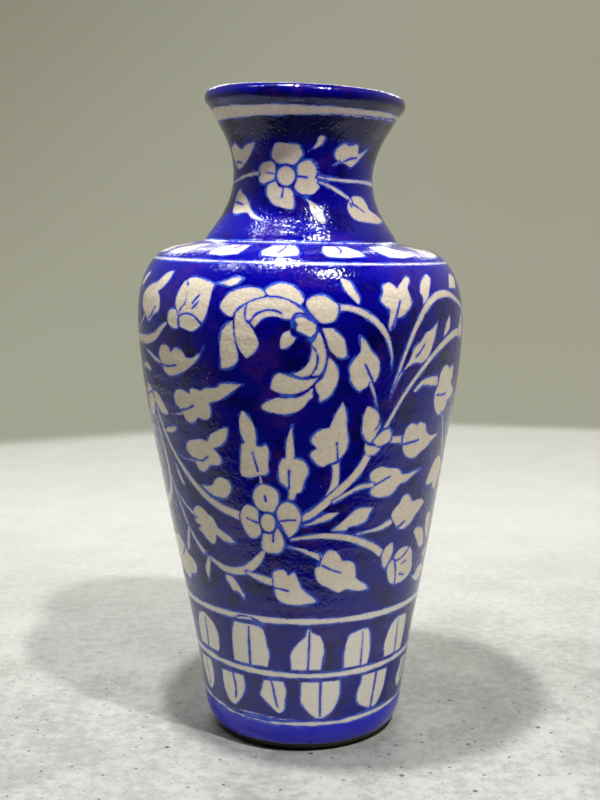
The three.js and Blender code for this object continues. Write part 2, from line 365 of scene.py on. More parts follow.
middleSprays = """
petal -18.5,147c -21,145.2 -25,142 -28,140.2 -31.7,139c -31.2,136.5 -31.9,133.9 -34,132.5 -37.3,133c
 -38.8,131.3 -41,130.6 -43.3,131.3 -44.6,133.3 -46,135.5 -48,137.3 -48.6,140 -47,142.5 -44,143.3 -40.3,142.2c
 -39.8,143.7 -38.3,144.3 -35,143.7c -33,144.8 -28.5,145.4c -27,146.8 -24.5,147.3 -21,147.3
line -45.5,135.2 -42,136 -39,137.5
stem -45.2,133.8,.7 -49,133.2,.4 -52.5,132.7,.25
petal -25,130.7c -26,126.5 -28.5,123.6 -31.8,122.2c -29.8,120.3 -29,118 -30.3,115.8 -33.5,115.5 -35,114.8
 -36,113.5 -38,112.4 -40.3,113 -41.3,115 -43.4,117.8 -45.3,119.8 -45.2,122.3 -43.5,124 -40.5,124.9 -37,125.5
 -34.8,124.9c -33,127.5 -30,129.3 -27,130.7
line -43.5,117.3 -40,116.9 -37.8,117 -35,118.7
stem -42,116.5,.5 -47,116.4,.4 -51,117.6,.2
petal -58.3,125.6c -55.5,127.5 -51.5,128.3 -49,128.2c -50.5,126.2 -53.5,125.2 -57,125.1
petal -65.5,139.8 -61.5,140.4 -58.5,139.2 -55.5,136 -53,132.4c -56.5,131.8 -60,133 -63,135.7 -66,138
petal -72.5,138.2 -70.5,141.5 -67.5,142.8 -65,141.2 -65.5,139.8 -69,138.8
petal -72,136.5 -69,138.6 -65,139.2 -64,135.5 -65.5,131.5 -69,130 -72,132.5
stem -62.5,133.5,.8 -60,128,.9 -56.5,121.5,1 -52.5,116,1.1 -48,111,1.3 -43,106.3,1.4 -38,102.5,1.5
 -32,99.6,1.7 -26,97.8,1.9 -24.3,97.3,2
stem -64.5,128,.7 -62.7,121,.9 -61.6,113,1.1 -62,106.5,1.3 -64.5,101,1.6 -69.5,97,1.9 -77,93.8,2 -90,91,2
stem -60.3,108,.5 -58.5,101,.7 -56.3,95,.8 -53.5,89,.9 -50.5,84.6,1 -46.5,80.6,1.2 -42.5,77.8,1.2
stem -44,78.8,.8 -39.5,76.9,1.2 -34.5,75,1.5 -29,74.8,1.7 -24,76,1.9 -20,78.7,1.9 -17.3,81.5,1.6 -15.6,83.7,.9
petal -48.8,95.2c -46.8,97.7 -44,98.8 -41,97.7 -39,96 -36.8,94.8 -34.9,91.4c -31.5,89.5 -28.8,88 -27,86c
 -30,85.6 -33.5,86.3 -36.3,87.8c -37.2,85 -39.5,83.8 -41.8,85.2 -44.5,87.3 -47.2,88.9c -45.2,90.3c -47.5,91.3
line -48.5,91 -45,90.4
line -48.8,93.5 -46.3,93.4
stem -48.6,95,.9 -51.5,96.7,.8 -54.5,99,.7 -57.5,102.5,.4
petal -41,107.4c -37.5,107.6 -34.8,108.3 -33,110.8 -30.3,111.8 -27.3,110.8 -26.1,108.8 -26.8,106 -28.6,103.6
 -31.5,103.1 -35,103.6c -38.5,105.6
petal -55.3,115c -53.5,112.5 -51,108 -50,105.3c -52.2,106 -54,109 -54.8,112
petal -53.7,89.5c -52.7,87.5 -54.5,83 -56,79.2 -58,77.7c -58.6,79.5 -57,83.5 -55,87.5
petal -43.5,79c -42,77.5 -42.8,74 -44.3,70.5 -45.3,68c -46.6,71 -46.6,73.5 -45,76.5
petal -76,81 -73,82 -67.5,82.8 -63.5,81.5 -61,79 -58.5,76.5 -55,75 -53,72.5 -54,69.5 -57,68.2 -60,68c
 -61.5,66 -65,65.5 -70,67 -76,69 -78,75
line -66,74.5 -63,77 -61,79.5
petal -34.8,72.8c -31,72.2 -28.8,70 -27.2,67.5 -26,65.5 -26.5,63.5c -29,65.8 -32,66.5 -33.8,69 -35.2,71.5
stem -24,75,.6 -19,73.4,1.5 -13,72,1.7
petal -12.7,74 -12.2,76.2 -9,77.5 -6.5,76.7 -6,75.4c -4,76.4 -2.7,75.8 -1.5,73 -0.3,70.3 1.5,68.5 4,66.5
 6.5,64.4c 3.5,63.5 -1,62.8 -5,62.8 -9,63.6 -11.5,65.5 -12.4,68.5
line -12.5,69.8 -9,69.2 -6.3,68.7
petal -19.7,137.9c -17.8,136.3 -16,133.3 -15,130 -15,125c -13.5,124.9 -11.8,125.5 -10.7,123.5 -11,119
 -11.3,115 -13,113.6 -14.5,113.6c -16.5,112.7 -19.5,112.4 -21.8,112.9 -22.1,115.5 -21.5,120.5 -21,125c
 -19.7,125.8c -20.8,128.5 -21.2,132 -20.8,135.5
line -16.8,122.3 -16,119 -15.3,115.3
stem -14.5,113,.6 -14.3,110.3,.7
petal -2.7,133c -2.4,129 -1.9,124 -2,120.7c 0.5,120.2 2.5,118 2.8,115 1.5,112 0.8,109 -0.3,107.5 -1.5,107.2c
 -2.2,105 -4.8,105 -4.6,107.5 -4.8,109c -7.5,111.2 -8,114 -7.8,118 -6.5,120.5 -5.3,121c -5.2,125 -4.2,130
line -4.1,116 -4.2,113 -4.3,109.2
stem 12.3,118.5,1.5 12.5,114,1.5 11.8,109.5,1.6 9.5,104.5,1.8 6,101.5,1.6 2,99,1.3
petal 13.8,142c 15.2,138.5 15.8,134.5 16.2,130 16.7,126.5 16,123 14,120c 12.5,118.7 10,118.2 7.8,117.2
 5.2,118.6 3.3,121.3 3.6,123.3 5.3,124.4c 3.4,127 4.2,129.3 6.5,131.5 9.5,132.2c 10.4,135 12,138.5
line 12.5,126.3 12.8,123 13,120
line 9.5,118 12,118.9 14.2,120.3
stem 1,97.5,1.6 6,101,1.6 11,105.5,1.7 16,110,1.7 20,114,1.7 22.7,118,1.6 24.5,121.5,1.5
petal 0,96c 4,97.5 8.5,99.6 14.6,99.9c 11,97 6,95.5 1,94.4
line 0,95.5 4,96.8 8.5,99.5 12,101
stem 33,126.3,1.3 38.5,125.8,1.7
petal 22.5,139.8c 25.5,138.5 27.5,135.8 28.3,132 27.3,129.3 26,126.3 24.5,125.5 22.7,126.8 21.2,129.5
 20.9,133 21.3,137
line 26.3,130.6 27.5,132.5 27.8,135
petal 22.8,125.8 22.6,123 24,121 26.5,120.7 28.3,121.8 29.3,123.5 27,124.5 24.5,125
petal 25.5,126 27.5,128.5 29.5,130.3 32,130.8 33.3,128.5 33.2,126 31,124.7 28.5,123.8 26.5,125
petal 38.8,128 39.8,130.5 42.3,131.9 44.8,130.9c 47,131.8 50,130.7 51.3,128.3 53,126.5 55.5,125.7 59,125.6
 61.8,125.3c 58.5,123.8 55.5,122.3 53,120.5 50,119.5 46.5,117.7 43,118 40,120.3 38.8,123.5
line 39,123.8,.5 43,124.2,.45 47.3,124.7,.3
line 38,128.5 38.6,124
petal 25.5,113 26.3,115 30,116.4 34,115.6 36.5,115.2 38.8,114.5 40.8,112.5 44,112.3 48,112.8 52,113c 48,111
 44,109 40,108 38,106 35.5,104.3 31.5,103.9 28,104.6 26.2,106.3 26.5,108.5c 27.3,109.8c 26,111
line 27,108.8 30.5,110.3 34.5,112
stem 27,109.5,1 22,109,1 17,106.8,.9 12,104,.8
petal 54.5,146.5 55.2,149.5 57.5,152 60,152.3 62.3,150.8c 64,151.8 66,151 67,148 66,145c 68.5,143 71,141c
 68,138.5 65,137.8 64,135.3 61.5,133.3 58,132.8 55,135 53.2,138.5 53,142 54.2,144.5
line 54.7,141.1 58,140.8 62,140.9
petal 40.5,144c 44,147.5 48,148.8 53,148.8 54,147 54,144.8 50,144.9 45.5,145.5 42,143.3
stem 61,133.5,.4 65,127.5,.6 68,121.5,.7 70.5,116,.7
petal 57.3,106 59,110 62,114 66,115.7 70,114.5 73,110c 71,105 68.5,101.5c 65.5,102.5 64.2,105c 61,104.6
"""
lowerSprays = """
petal -15.5,100 -17.8,103 -18.2,106 -16.5,109 -14,110.6 -11,110 -8.3,108 -8,105 -8.6,102 -10.4,99.5c
petal -9.5,100 -8.3,102.5 -5.5,104.2 -2.5,103.2 -.5,100.5 0,97 -1.5,93 -4,90.3 -5.2,89.9c -7.3,93 -8.8,96.5
petal -16,99.8c -17.5,101.3 -20.5,102.2 -23,100.5 -24.2,97 -23.5,93 -21.5,89.8 -19.5,88.7 -16.8,89.7
 -15.6,92 -16.2,96
petal -15.4,91.5c -16,89 -16.3,86 -15.2,84 -12,83.2 -9,83.8 -7,86 -6.6,88.5 -7.6,91.5 -9.6,94 -11,91.7
ring -12.8,95.5,3.2,4,.45
line -8.3,96.3 -5,96.9 -2.5,97
line -17,95.2 -21,96.7
line -11,91.7 -11.3,88.2
line -8.2,95 -6.5,91.5 -5.5,90
line -13.2,104 -13.3,106
stem -4,89.3,.7 0,90,.8 5,90.6,1 10,90.7,1.3 16,89.9,1.4 21,88.6,1.5 26,86.6,1.6 30.5,84.3,1.7 34,81.8,1.7
petal 11,92.5c 14,95 18,98.5c 20,100.2 23,101.2 28.5,100.8c 27,98.3 25.3,95.2 22,94 18.5,93.5 17.5,92.3
stem 22,90.7,.5 27,91.3,.7 32,92,1.1 36.5,93.5,1.5 37.8,94,1.3
petal 37.2,95.5 37.8,98 39.5,99.8c 41,101 42,103 44.5,104 47,103 48.5,101 50,100.3c 53,100.7 56,100.2
 59,98.5c 56,96 53,94 50,91.3 46.5,89.7 43.5,89.7 41,91 39,93.3
line 41.5,90.8,.5 44,92,.45 45.8,92.8,.3
petal 34.5,80.5 36,83.5 38.5,85.3 40.3,85.3c 41.2,82 40.3,78.8 38.5,75.8 37,75 35,77.5
petal 41.5,78 42.5,80 45,81.8 49,82.3 52.5,81.2 55,79 56.5,75 57.3,71 55.5,69 51,67.3 47,66.9 43,67.3
 40.3,69.5 38.7,73 38.8,76 40.5,77.8
line 41.8,78 44,77.2 47,77.7 50,79.5 51.5,81
line 42.5,77.5 44,74 44.8,70 44.8,67
line 47.5,75.2 50.8,75.9
line 47.5,71 50.8,70
petal 57.5,68.3c 61,67.8 64,70.3 68,71 72,70 75,67.5c 71,64.5 66,63.8 61,65.7
petal 53.3,87 55,88.7 59,88.3 62.5,86.5 64.5,83.5 66.5,80c 64,78.7 60.5,79.5 57,83 54.5,85.3
petal 63.5,91.5 66,93 69,92.3 70.5,88 71,83.5 70,80.5c 66.5,83.5 64,88
petal 67,74.5c 70,77 74,77c 73,74 70,73
stem -5.5,86.5,.3 0,85.2,.8 3.5,83.7,1.1 7,82.3,1.4
petal 7.5,81 9,84 11.5,85.3 14.5,84 16.5,80.8c 19.5,80.4 22,79 23,76 23.3,73.3 25,71.8 28,70 30.2,67.5c
 27,67.3 23,67.5 19,68.6 17.5,68 15.5,67.4 13,68.4 10,70 7,71.5 5.2,74 4.7,77.5 6,79
line 8,79 12,77 16,75.7
line 7,84 7.3,81 6.8,79
"""
# where the two painted sides meet, left and right of the viewer
edgeSprays = """
stem 90,91,2 85,92,1.8 81,95.5,1.5 78.5,100.5,1 77.5,105,.4
petal 82,94c 81,90 83,86.5 87,84 91.5,82.5c 92,86.5 90.5,90.5 87,93
petal 80,184.5c 82.5,180 86.5,177.5 91,177.6c 93.5,178.5 98,182.5 99.5,185.5c 95,186.3 90,185 86,184.5
petal 84,173.5c 87,170 91.5,167.8 96,167.3 100,169.5c 98.5,172.3 94,174.5 89,174.6
line 86,172.8 91,170.8 96,170
stem 88,161,1.4 91,157.5,1 93,153,.7 93.5,149,.4
petal 84,152.5 86.5,155.5 90,156 92.5,152.5 92,147.5 89.5,143.8 85.5,141.8c 84.5,145 82.5,148
line 88,144.5 88,148 87.3,151.5
petal 97.5,155.5c 98.5,151 100.5,147.5 103.5,145.5c 103.5,149.5 101.5,153.5
petal 96,136.5c 98.5,139.5 102,141 105,140.3c 104,137.3 100.5,135.3
stem 92.5,119,.9 93.5,112,.9 92,105,1 90.5,98,1.3 90,91,1.6
petal 88,131.3 87,135 88.5,138.6 92,139.7 95.3,138 96.3,134.5 94,131.5c
petal 95.5,131.5 98.5,133.2 102,131.8 103.3,128 101,124.8 97.5,124.3 95,126.7c
petal 94.8,125.8 97,123 96.3,119.3 93.3,117.5 90,118.3 88.5,121.5 90,125.3c
petal 89,125.8 86,123.3 82.5,123.6 80.8,126.8 81.5,130.5 84.5,132.3 88,130.5c
ring 92,128.5,3.4,3.5,.45
line 95.5,128.7 98.8,128.6
line 91.8,124.3 92.2,121
line 88,128 84.8,127.5
petal 80,118.5c 82.5,116.5 84.5,112.5 84.8,108.5 83.5,105.8c 80,108 78.3,112
petal 96,112.5c 99,113.3 103.5,111.5 106.5,107.5c 103.5,105.8 99,106.3 96.5,109
line 97.5,111 101,109.3
petal 79,79.5c 82,77.8 87,77.2 91,78.5c 95,79.8 98,79 100.5,76.5c 97,72 92,69.5 86,69.8 82,72.5 80,76
line 82,76.5 86.5,74.8 91,74.6
"""
neckSpray = """
petal -25.5,228 -24,231 -21,233.2 -15,233.3 -10,233 -4,232.7 -1.5,231 -0.5,229 -3,227 -7,225.2 -14,225.3
 -21,225.7
petal -22,225.3 -26,226.8 -30,226.4 -33,226 -36.5,224.5 -38,222 -37,219.5 -34,218.2 -29,218.3 -23,219.5
petal -5,225 -1,226.8 4,227.4 7,226.9c 7.4,226.2c 9.8,226.1c 9,225.2c 11.4,224.5c 9.8,223.9c 12.2,222.7c
 10.4,222.3c 12.6,220.9c 10.8,220.7c 13,219.2c 11.4,218.9c 13.4,217.5c 12,216.5 8,214.6
 3,214.3 -3,214.8 -7,217 -5.5,220.5
petal -22,219.5 -27,218.5 -29.3,217 -28.5,214.5 -26,212.5 -22,210.5 -17,209.7 -12,209 -6.5,209 -5.5,211
 -6,213.5 -8,216 -12,217.2 -18,217.3
ring -13.5,221.2,3.9,4,.5
line -30,222.3 -23.5,222
line -5,221.2 2.5,220.8
line -15.3,217 -15.5,213.5
line -21,219.5 -25,219 -29.5,218.3
line -8,217 -4,214.5 0,213.9 5,213.8
petal 3,230.3c 6,231 9,231.5 13,233 14.8,235.2 12.5,236.3 9.5,235.8 8,233.5 5.5,231.5
petal 58.8,233.7c 53,232.5 47,230.9c 45,231 44,233 41,234.2 37,233.7 34,233.2c 31,234 27.5,233.6 24,231.8
 23,229.5 26,227.3 31,226.6 35,226 39,225.2 44,226.5 49,229 54,231.5
line 32,227.2 38,228.5 44,229
stem 23,225.8,.3 28,227,.5
petal -37.2,233.3c -42,230 -48,227 -54,225 -60,223.7 -66,224 -72,227 -74.5,229.5 -72,232.3 -66,232.8
 -62,233.5 -57,231.8c -54,231.2 -48,232.5 -42,233.3
line -67,226 -62,226.5 -57,226
petal -62,212.5 -61.5,215.3 -57.5,216.3 -53,215 -47,213.3 -42,211 -38.5,209 -34,207.3 -28,205.6 -23,204.8c
 -29,204.6 -36,205.5 -41,207.2 -47,207 -54,206.8 -59,208
line -60,211.5 -54,211 -49,210.5
stem -92,219,.6 -75,219,.6 -60,220.3,.8 -50,221.3,.9 -38,222,.9
stem 11,221.2,.6 20,220.6,.7 35,220.2,.8 50,220.2,.8 62,220,.9 75,219.6,1 90,219,.7
stem 12,219.2,.5 20,218,.8 28,216,.9 36,213.8,.9
petal 34,211 33.5,208.5 36,206.3 40,205 47,204.6 55,204.3 62,204.2 68,204.6 75.5,205.6c 69,207.3 62,208.8
 58,209.8 57,211.5 53,214 47,215 41,214.7 37,213.5
line 36,213 38,210.5
line 38.5,214.8 40,212
line 38,211.8 44,210.5 49,209
petal -2,213.3c 3,213 9,211.5 14,209 16,206 15.5,204 12,204 7.5,206 5,208.5 4,211 1.5,212.5
petal 78,219.5c 84,222 90,226 99,231.5c 94,232.8 86,232 80,228.5 77,224
line 82,222.5 87,227.5
petal 82,218.5c 88,216 95,212 101,205.5c 94,204.2 86,205.5 81,209.5
line 84,216 89,211
"""

sprays = [shoulderSprays, bigRose, middleSprays, lowerSprays, edgeSprays, neckSpray]
for turn in (0, 180):
    for n, text in enumerate(sprays):
        for m, (kind, places) in enumerate(readStrokes(text)):
            if kind == "ring":  # a white disc with a thick blue circle round it
                places = ringPlaces(*places[0][:5])
                lay("petal", places, turn, 100 * n + m, 0)
            lay(kind, places, turn, 100 * n + m)
print("sprays painted")

# White lines round the pot, mm: how high the middle is and how far it swings up and down on the way round,
# the half width, the half width of its blue edge, and how ragged the hand was. A turn is in degrees.
lines = {
    "underLip": {
        "low": 243.1, "high": 246.6, "swing": 1.8, "turn": 14,
        "edge": 0.16, "ragged": 0.22, "seed": 11,
    },
    "neckRoot": {"high": 196.9, "half": 0.62, "edge": 0.3, "ragged": 0.12, "seed": 12},
    "shoulder": {"high": 189.9, "half": 0.7, "edge": 0.22, "ragged": 0.15, "seed": 13},
    "aboveLeaves": {
        "high": 57.4, "swing": -1.2, "turn": 0, "half": 1.45,
        "edge": 0.25, "ragged": 0.25, "seed": 14,
    },
    "throughLeaves": {
        "high": 36.7, "swing": -3.3, "turn": 10, "half": 1.4,
        "edge": 0.32, "ragged": 0.3, "seed": 15,
    },
    "footLine": {
        "turns": (-180, -120, -72, -50, -44, -20, 0, 20, 40, 60, 72, 130, 180),
        "highs": (14.2, 15.4, 16.2, 14.7, 13.6, 12.7, 12.9, 12.8, 13.6, 14.6, 15.2, 14.4, 14.2),
        "half": 0.9, "swell": 0.3, "edge": 0.3, "ragged": 0.25, "seed": 16,
    },
}


def swinging(name, turn):
    # how high the middle of one of those lines is at a place round the pot
    line = lines[name]
    return line["high"] + line["swing"] * np.cos(np.radians(turn - line["turn"]))


def goRound(name, middle, half=None):
    line = lines[name]
    hand = np.random.default_rng(line["seed"])
    wander = sum(hand.normal() * np.cos(k * angles + hand.uniform(0, 6)) / k**0.5 for k in range(5, 40))
    middle = arcAt(middle + 0 * angles)[None, :]
    half = ((line["half"] if half is None else half) + line["ragged"] * 0.4 * wander)[None, :]
    far = (np.abs(rowArc[:, None] - middle) - half).astype(np.float32)
    pen[:] = np.minimum(np.maximum(pen, -far), np.abs(far) - line["edge"])
    motif[:] = np.minimum(motif, far)


# the two rows of leaves under the sprays; those in front first, then the rest in a looser hand
leafText = """
petal -64,38.5c -64.7,43 -63.5,48 -60.5,51.8 -56,53.3 -51.5,52.5 -47.5,50 -45.2,46 -45.6,41 -47.5,38c
line -54.6,51,.2 -55,45,.4 -56.5,38,.45
petal -36.7,36.5c -36.8,41 -36.2,47 -35,51.5 -33.5,54c -28,53.8 -22,53.6 -18.5,52.5c -17.4,49 -16.8,45
 -16,42.5 -16.6,39 -17.8,36.2c
line -25.8,52.5,.2 -26.5,46,.5 -27,36.3,.6
petal -6.2,35.7c -6.3,39 -6.6,42c -5,45 -2,48 .5,50 1.6,52.8c 3.2,53.4 4.5,51.8 8,50.3c 9.8,47 10.3,43.5
 9.6,39.5 8.6,35.7c
line 2.9,53,.25 2.7,45,.35 2.2,35.5,.4
petal 20.2,35.6c 19.8,41 20.3,46 22,49.5 25,50.8 29.5,51.5 32.5,51 33.8,48 34.8,43 34.8,39 33.8,35.6c
line 29.2,50,.15 29.6,44,.28 29.7,36,.35
petal 44.8,36.3c 44.7,38.5 43.8,40 44.2,44 46,48.5 48.5,51 53,52.6 57,52.3 61,52c 61.8,46 61.5,41 60.5,36.5c
line 53,51,.2 53.6,44,.35 54,36.5,.4
petal -67,33c -69,28 -68,22 -65,19 -62.5,18.6 -60,19.8 -57,23 -55.5,28 -56.5,33c
line -63,31,.25 -62.6,25,.3 -63,21,.15
petal -47,31.3c -47.6,27 -47.4,22.5 -45.5,19 -42.5,17.3 -40,17 -37.5,18.5 -33.5,22 -31.5,26 -31.5,31.3c
line -38.9,31.5,.4 -38.5,29,.45 -38.2,24,.4 -39.2,20.5,.3
petal -20.5,31c -22.5,26.5 -23.6,24c -20.5,21.5 -17,19 -14.5,17.3 -12.5,16.8 -10,18.5 -9.5,21 -9,24 -8.5,27
 -9.8,31c
line -16.3,31,.3 -15.3,26,.35 -14.5,22,.4 -13.8,19.5,.3
petal -1,31c -1.7,26 -1.6,22 1.5,18.5 4.5,16 7,15 10,14.8 13,15.8 16.5,18.3 18.8,22 19.5,26 18.8,31c
line 8.8,31.5,.5 8.7,24,.45 9,16,.4
petal 31.5,31.4c 31,28 29.5,25 29.3,21 31,18.8 34.5,17.2 38,16 42,15.8 45,17 48,20.5 49.3,25 49.3,31.4c
line 41,31.3,.5 40.7,24,.45 40,16.5,.4
petal 64,31.8c 63.5,28 61.8,25 62,22 64,20 66.5,19 69.5,19.5 72,22 73.5,27 73,31.8c
line 68.5,31,.35 68.2,25,.35 67.5,20.5,.2
"""
for kind, places in readStrokes(leafText):
    lay(kind, places)
# The leaves at the sides and behind: degrees to the first one and on to the next, and how far the foot of
# a leaf is from the middle of the line, mm. One side of a leaf: share of the half width, share of the height,
# sharp or not.
leafRows = {
    "standing": {
        "first": 80.5, "step": 27.8, "count": 8, "off": 2.0,
        "side": [(-0.9, 0, 1), (-0.98, 0.3, 0), (-0.93, 0.62, 0), (-0.7, 0.88, 0), (-0.3, 0.97, 0)],
    },
    "hanging": {
        "first": 96, "step": 28, "count": 7, "off": -1.9,
        "side": [(-0.88, 0, 1), (-1, 0.3, 0), (-0.97, 0.58, 0), (-0.68, 0.82, 0), (-0.32, 0.96, 0)],
    },
}
leaf = {
    "halfWidth": 9.2,  # degrees
    "tall": (15, 16.6),  # mm, of a standing leaf
    "highestTip": 54.4,
    "hangingTip": 16.8,
}
leafHand = np.random.default_rng(7)
for row, made in leafRows.items():
    for k in range(made["count"]):
        mid = made["first"] + made["step"] * k
        root = float(swinging("throughLeaves", mid)) + made["off"]
        wide = leaf["halfWidth"] + leafHand.uniform(-1, 1)
        if row == "standing":
            tip = min(root + leafHand.uniform(*leaf["tall"]), leaf["highestTip"])
        else:
            tip = leaf["hangingTip"] + leafHand.uniform(-1.2, 1.2)
        lean = leafHand.uniform(-0.3, 0.3)
        places = []
        for side in (1, -1):
            for across, up, sharp in made["side"][::side]:
                here = mid + wide * (side * across * leafHand.uniform(0.94, 1.04) + lean * up)
                places.append((here, root + (tip - root) * up * leafHand.uniform(0.98, 1.02), 0, sharp))
            if side == 1 and leafHand.random() < 0.6:
                places.append((mid + wide * lean, tip, 0, leafHand.random() < 0.5))
        lay("petal", places)
        bend = leafHand.uniform(-0.5, 0.5)
        vein = [(lean * 0.8, 0, 0.9, 0.2), (lean * 0.4, bend, 0.5, 0.4), (0, bend, 0, 0.45)]
        lay("line", [(mid + wide * a + b, root + (tip - root) * up, w) for a, b, up, w in vein])

# the low leaves on the ledge under the neck, by where their middles are: in front, then evenly behind
for mid in [-55, -30, -8, 16, 40, 68] + [92 + 24 * k for k in range(9)]:
    w = leafHand.uniform(0.9, 1.06)
    # the brush dragged them a little sideways
    skew = -mid / 60 if abs(mid) < 60 else leafHand.uniform(-0.8, 0.8)
    shape = [
        (-5.6 * w, 195.8, True), (5.6 * w, 195.8, True), (7.8 * w - skew, 194.3, False),
        (7.9 * w - 3 * skew, 192.5, True), (-3 * skew, 191.8, False), (-6.8 * w - 3 * skew, 192.3, True),
        (-7.8 * w - skew, 194, False),
    ]
    lay("petal", [(mid + a, b, 0, c) for a, b, c in shape])
    lay("line", [(mid + 1, 195.5, 0.4), (mid + 0.6, 194.4, 0.35), (mid - 1, 193.4, 0.2)])

lip, foot = lines["underLip"], lines["footLine"]
lowEdge = lip["low"] + lip["swing"] * np.sin(np.radians(degrees - lip["turn"]))
goRound("underLip", (lip["high"] + lowEdge) / 2, (lip["high"] - lowEdge) / 2)
lipStroke = [(8, 243.2, 0.15), (30, 243.7, 0.3), (60, 244, 0.35), (90, 243.8, 0.3), (120, 243, 0.1)]
lay("stem", lipStroke, edge=0.1)
for name in ("neckRoot", "shoulder"):
    goRound(name, lines[name]["high"])
for name in ("aboveLeaves", "throughLeaves"):
    goRound(name, swinging(name, degrees))
footLine = np.interp((degrees + 180) % 360 - 180, foot["turns"], foot["highs"])
goRound("footLine", footLine, foot["half"] * (1 + foot["swell"] * np.sin(3 * angles)))
for text in (
    "line -34.5,54.2,.3 -31,56.2,.35 -25,56.6,.35 -20,55,.3 -17.5,53.3,.25",
    "line -33.5,54.4,.3 -28,55,.35 -22,54.9,.35 -18.5,53.4,.3",
    "stem -48,14.4,.2 -35,15.4,.35 -22,15.2,.4 -10,14.4,.35 4,14.3,.15",
    "stem 150,15.6,.2 165,16.2,.35 182,15.8,.4 198,15.1,.2",
    "line -44,14.7,.3 -30,14.1,.4 -15,13.9,.5 0,14.2,.35 14,13.9,.3",
    "line 30,14.6,.25 40,15.1,.3 52,15.6,.3",
):
    for kind, places in readStrokes(text):
        lay(kind, places)
print("bands painted")


class Wire:
    # one output of a node, so that shader values can be written as sums
    def __init__(self, bench, socket):
        self.bench = bench
        self.socket = socket

    def combine(self, operation, first, second):
        return self.bench.node("ShaderNodeMath", {"operation": operation}, first, second)

    def __add__(self, other):
        return self.combine("ADD", self, other)

    def __radd__(self, other):
        return self.combine("ADD", other, self)

    def __sub__(self, other):
        return self.combine("SUBTRACT", self, other)

    def __rsub__(self, other):
        return self.combine("SUBTRACT", other, self)

    def __mul__(self, other):
        return self.combine("MULTIPLY", self, other)

    def __rmul__(self, other):
        return self.combine("MULTIPLY", other, self)


class Bench:
    # a material being mixed
    def __init__(self, name):
        self.material = bpy.data.materials.new(name)
        self.material.use_nodes = True
        self.tree = self.material.node_tree
        self.tree.nodes.clear()
        self.place = self.node("ShaderNodeTexCoord", {}, out="Object")

    def node(self, kind, settings, *values, out=0, **named):
        # settings first, then its sockets in order, with None for one left alone, or by name
        made = self.tree.nodes.new(kind)
        for key, value in settings.items():
            setattr(made, key, value)
        plugs = list(zip(made.inputs, values)) + [(made.inputs[k], v) for k, v in named.items()]
        for plug, value in plugs:
            if isinstance(value, Wire):
                self.tree.links.new(value.socket, plug)
            elif value is not None:
                plug.default_value = value
        return Wire(self, made.outputs[out]) if made.outputs else None

    def painted(self, name):
        return self.node("ShaderNodeAttribute", {"attribute_name": name}, out="Fac")

    def clouds(self, size, detail=2.0, rough=0.5, stretch=None):
        # soft noise from 0 to 1 whose patches are about this many mm across
        where = self.place
        if stretch:
            where = self.node("ShaderNodeVectorMath", {"operation": "MULTIPLY"}, where, stretch)
        named = {"Vector": where, "Scale": 1000 / size, "Detail": detail, "Roughness": rough}
        return self.node("ShaderNodeTexNoise", {}, **named)

    def ease(self, value, low, high):
        # 0 below low to 1 above high, smoothly; the other way round when low is the larger
        settings = {"interpolation_type": "SMOOTHSTEP"}
        if low < high:
            return self.node("ShaderNodeMapRange", settings, value, low, high, 0.0, 1.0)
        return self.node("ShaderNodeMapRange", settings, value, high, low, 1.0, 0.0)

    def mix(self, share, first, second):
        # two colours; the five sockets in between are for numbers and vectors
        skipped = [None] * 5
        return self.node("ShaderNodeMix", {"data_type": "RGBA"}, share, *skipped, first, second, out=2)

    def specks(self, size, radius, share, flat=False):
        # round dots in some of the cells of a grid about this many mm wide
        settings = {"voronoi_dimensions": "2D" if flat else "3D"}
        cell = self.node("ShaderNodeTexVoronoi", settings, Vector=self.place, Scale=1000 / size)
        dot = self.ease(cell, radius / size, radius / size * 0.5)
        cellColour = Wire(self, cell.socket.node.outputs["Color"])  # one random colour to a cell
        chance = self.node("ShaderNodeSeparateColor", {}, cellColour)
        return dot * self.ease(chance, share, share * 0.9)

    def finish(self, colour, roughness, height, lift, fixed):
        bump = self.node("ShaderNodeBump", {}, Strength=1.0, Distance=lift * mm, Height=height, out="Normal")
        named = {"Base Color": colour, "Roughness": roughness, "Normal": bump, **fixed}
        self.node("ShaderNodeOutputMaterial", {}, self.node("ShaderNodeBsdfPrincipled", {}, **named))
        return self.material


def tone(red, green, blue):
    # a colour as picked on screen, 0 to 255, as the share of light that it stands for
    light = []
    for level in (red / 255, green / 255, blue / 255):
        light.append(level / 12.92 if level < 0.0404 else ((level + 0.055) / 1.055) ** 2.4)
    return (*light, 1)


